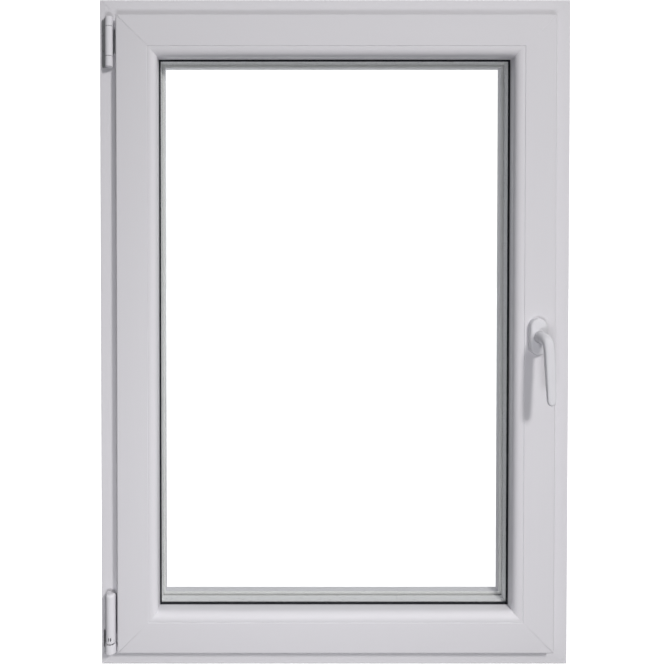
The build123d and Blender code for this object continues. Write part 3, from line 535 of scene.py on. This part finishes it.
def screw_place(points):
    """A screw's head centre, its shank's direction, its length, and the head's and shank's radii."""
    low = Vector(min(p[i] for p in points) for i in range(3))
    high = Vector(max(p[i] for p in points) for i in range(3))
    size = high - low
    axis = max(range(3), key=lambda i: size[i])
    across, up = [i for i in range(3) if i != axis]
    middle = (low + high) / 2

    def spread(level):
        """The radius of the end that lies at a level along the axis."""
        near = [p for p in points if abs(p[axis] - level) < 0.05 * MM]
        return max(Vector((p[across] - middle[across], p[up] - middle[up])).length for p in near)

    at_low = spread(low[axis])
    at_high = spread(high[axis])
    head_at_low = at_low > at_high
    start = middle.copy()
    start[axis] = low[axis] if head_at_low else high[axis]
    along = Vector((0.0, 0.0, 0.0))
    along[axis] = 1.0 if head_at_low else -1.0
    return start, along, size[axis], max(at_low, at_high), min(at_low, at_high)


def screw_outline(length, head, shank):
    """Half a countersunk screw's section, from the floor of its recess to its point."""
    rim = 0.05 * head
    sink = head - shank
    outline = [(0.0, -0.55 * head), (0.16 * head, -0.5 * head), (0.34 * head, -rim), (0.4 * head, 0.0)]
    outline += [(0.93 * head, 0.0), (head, -rim), (shank, -sink - rim)]
    pitch = 0.9 * shank
    level = sink + 0.2 * head
    while level + pitch < length - shank:
        outline += [(0.78 * shank, -level - 0.3 * pitch), (shank, -level - 0.6 * pitch)]
        level += pitch
    return outline + [(0.75 * shank, -level), (0.0, -length)]


def screw_bm(length, head, shank):
    """A countersunk screw pointing down -Z from z 0, with a cross recess and rolled threads."""
    bm = bmesh.new()
    verts = [bm.verts.new((r, 0.0, z)) for r, z in screw_outline(length, head, shank)]
    edges = [bm.edges.new(pair) for pair in zip(verts, verts[1:])]
    bmesh.ops.spin(
        bm,
        geom=verts + edges,
        cent=(0, 0, 0),
        axis=(0, 0, 1),
        angle=FULL_TURN,
        steps=16,
        use_merge=True,
    )
    bmesh.ops.remove_doubles(bm, verts=bm.verts, dist=WELD)
    for vert in bm.verts:
        radius = Vector((vert.co.x, vert.co.y)).length
        in_recess = radius < 0.37 * head and vert.co.z > -0.52 * head
        if in_recess and radius > 0.01 * head:
            lobe = abs(math.cos(2 * math.atan2(vert.co.y, vert.co.x)))
            widened = 0.45 + 0.75 * lobe
            vert.co.x *= widened
            vert.co.y *= widened
    return bm


def screws(node, body, coat):
    """One set of driven screws in the places of a CAD node's shanks."""
    whole = bmesh.new()
    for points in islands(node):
        start, along, length, head, shank = screw_place(points)
        one = screw_bm(length, head, shank)
        turn = Vector((0, 0, -1)).rotation_difference(along).to_matrix().to_4x4()
        bmesh.ops.transform(one, matrix=Matrix.Translation(start) @ turn, verts=one.verts)
        join_in(whole, one)
    piece = piece_from(whole, node + "_driven", coat, body, 30.0)
    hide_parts(node)


# Drain caps ----------------------------------------------------------------------
def drain_caps():
    """Two hooded covers over the sill's outer weep slots, each with three louvres."""
    low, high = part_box("drain_caps")
    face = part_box("frame_sill")[1].y
    length, height, depth = 44.0 * MM, high.z - low.z, high.y - face
    hood_round = 1.3 * MM
    rim, rim_depth = 1.2 * MM, 0.35 * MM
    louvre_gap, louvre_depth = 0.25 * MM, 0.9 * MM
    whole = bmesh.new()
    for side in (-1, 1):
        centre = Vector((side * (high.x - length / 2), face + depth / 2, (low.z + high.z) / 2))
        one = bmesh.new()
        bmesh.ops.create_cube(one, size=1.0)
        bmesh.ops.scale(one, vec=(length, depth, height), verts=one.verts)
        outer = [e for e in one.edges if max(v.co.y for v in e.verts) > 0]
        bmesh.ops.bevel(
            one, geom=outer, offset=hood_round, segments=3, profile=0.5, affect="EDGES", material=-1
        )
        front = max(one.faces, key=lambda f: f.calc_center_median().y + f.calc_area())
        bmesh.ops.inset_individual(one, faces=[front], thickness=rim, depth=-rim_depth)
        cuts = [e for e in front.edges if abs((e.verts[0].co - e.verts[1].co).z) > 1 * MM]
        bmesh.ops.subdivide_edges(one, edges=cuts, cuts=6, use_grid_fill=True)
        strips = sorted(front_faces(one), key=lambda f: f.calc_center_median().z)
        bmesh.ops.inset_individual(one, faces=strips[1::2], thickness=louvre_gap, depth=-louvre_depth)
        bmesh.ops.translate(one, vec=centre, verts=one.verts)
        join_in(whole, one)
    piece = piece_from(whole, "drain_cap_hoods", cover_plastic, "frame", 25.0)
    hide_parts("drain_caps")


def front_faces(bm):
    """The wide strips of a cap's recessed front."""
    wide = [f for f in bm.faces if f.normal.y > 0.99]
    longest = max(f.calc_area() for f in wide)
    return [f for f in wide if f.calc_area() > 0.5 * longest]


# Everything else that keeps its own shape ---------------------------------------
def other_finishes():
    dress(black_rubber, "frame_gasket", "sash_gasket", "inner_glazing_gasket")
    dress(edge_putty, "edge_seal")
    dress(clear_glass, "outer_pane", "inner_pane")
    dress(spacer_metal, "spacer_bar")
    dress(spangle_zinc, "frame_reinforcement", "sash_reinforcement")
    dress(packer_blue, "glazing_packers")
    dress(
        zinc_plate["x"],
        "striker_head",
        "striker_sill",
        "tilt_keep",
        "faceplate_top",
        "faceplate_bottom",
        "top_rod",
        "top_rod_cam",
        "bottom_rod",
        "bottom_rod_cams",
        "stay_arm",
        "stay_guide_pin",
    )
    dress(
        zinc_plate["z"],
        "lock_side_strikers",
        "faceplate_lock_side",
        "lock_rod",
        "lock_rod_cams",
        "gear_case",
        "corner_drives",
        "corner_springs",
        "corner_band",
        "stay_bearing",
        "stay_pin",
        "pivot_rest",
        "pivot_pin",
        "handle_base_plate",
    )
    dress(zinc_plate["y"], "pivot_ball", "handle_spindle", "gear_pinion")


plastic_profiles()
outer_seal()
hinge_covers()
handle_lever()
handle_rose()
drain_caps()
screws("frame_hardware_screws", "frame", zinc_plate["y"])
screws("sash_screws", "sash", zinc_plate["x"])
screws("handle_screws", "sash", zinc_plate["y"])
other_finishes()


# Studio --------------------------------------------------------------------------
# Strength of the light from each side of the room, and of the two lamps.
room_light = {"all_round": 0.02, "front": 0.03, "outdoors": 2.6, "above": 0.33, "right": 0.13}
outdoor_focus = 6.0
backdrop_strength = 1.25
key_power = 5.2
fill_power = 5.0


def studio_camera():
    data = bpy.data.cameras.new("camera")
    data.sensor_width = 36.0
    data.lens = 27.42
    data.shift_x = 0.091
    data.shift_y = -0.124
    data.clip_start = 0.01
    camera = bpy.data.objects.new("camera", data)
    camera.location = (-0.116, -0.970, 0.780)
    look_down = 0.58
    camera.rotation_euler = (math.radians(90.0 - look_down), 0.0, 0.0)
    bpy.context.scene.collection.objects.link(camera)
    bpy.context.scene.camera = camera


def soft_box(name, place, target, size, power, colour):
    """A round studio lamp whose light doesn't fade with distance."""
    data = bpy.data.lights.new(name, "AREA")
    data.shape = "DISK"
    data.size = size
    data.energy = power
    data.color = colour
    glow = Finish(data, "ShaderNodeEmission")
    even = glow.add("ShaderNodeLightFalloff", None, {"Strength": 1.0})
    glow.set("Strength", even.outputs["Constant"])
    light = bpy.data.objects.new(name, data)
    light.location = place
    light.rotation_euler = (Vector(target) - Vector(place)).to_track_quat("-Z", "Y").to_euler()
    light.visible_glossy = False
    light.visible_camera = False
    bpy.context.scene.collection.objects.link(light)


def studio_world():
    """White to the camera; for light, a dim room lit from above, the right and outdoors."""
    world = bpy.data.worlds.new("studio")
    bpy.context.scene.world = world
    air = Finish(world, "ShaderNodeMixShader")
    where = air.add("ShaderNodeTexCoord")
    parts = air.add("ShaderNodeSeparateXYZ", None, {0: where.outputs["Generated"]})
    side, depth, height = (air.number(parts, i) for i in range(3))
    strength = room_light["all_round"] + room_light["front"] * (-depth).over_zero()
    strength = strength + room_light["outdoors"] * depth.over_zero() ** outdoor_focus
    strength = strength + room_light["above"] * height.over_zero()
    strength = strength + room_light["right"] * side.over_zero()
    cool_white = (0.95, 0.97, 1.0, 1.0)
    pure_white = (1.0, 1.0, 1.0, 1.0)
    ambient = air.add("ShaderNodeBackground", None, {"Color": cool_white, "Strength": strength})
    backdrop = air.add(
        "ShaderNodeBackground", None, {"Color": pure_white, "Strength": backdrop_strength}
    )
    path = air.add("ShaderNodeLightPath")
    air.feed(air.shader.inputs[0], path.outputs["Is Camera Ray"])
    air.feed(air.shader.inputs[1], ambient.outputs[0])
    air.feed(air.shader.inputs[2], backdrop.outputs[0])


def studio_floor():
    """A plain white floor under the sill that throws no light on the window."""
    half_width = 8.0
    drop = 0.8 * MM
    bm = bmesh.new()
    bmesh.ops.create_grid(bm, x_segments=8, y_segments=8, size=half_width)
    bmesh.ops.translate(bm, vec=(0.0, 0.0, -drop), verts=bm.verts)
    mesh = bpy.data.meshes.new("floor")
    bm.to_mesh(mesh)
    bm.free()
    pale = coated("pale_floor", {"Roughness": 0.9, "Emission Strength": 1.2})
    haze = pale.cloud(2.0, 3.0)
    pale.set("Base Color", pale.tint(haze, (0.30, 0.30, 0.30), (0.32, 0.32, 0.32)))
    pale.set("Emission Color", pale.tint(haze, (0.99, 0.99, 1.0), (1.0, 1.0, 1.0)))
    mesh.materials.append(pale.owner)
    floor = bpy.data.objects.new("floor", mesh)
    bpy.context.scene.collection.objects.link(floor)
    floor.visible_diffuse = False
    floor.visible_glossy = False


studio_camera()
soft_box(
    "key",
    place=(0.88, -1.67, 1.85),
    target=(0.1, 0.0, 0.6),
    size=0.32,
    power=key_power,
    colour=(1.0, 0.985, 0.965),
)
soft_box(
    "low_fill",
    place=(-0.1, -1.15, 0.14),
    target=(-0.05, 0.0, 0.1),
    size=0.55,
    power=fill_power,
    colour=(0.98, 0.98, 1.0),
)
studio_world()
studio_floor()
bpy.context.scene.view_settings.view_transform = "Standard"
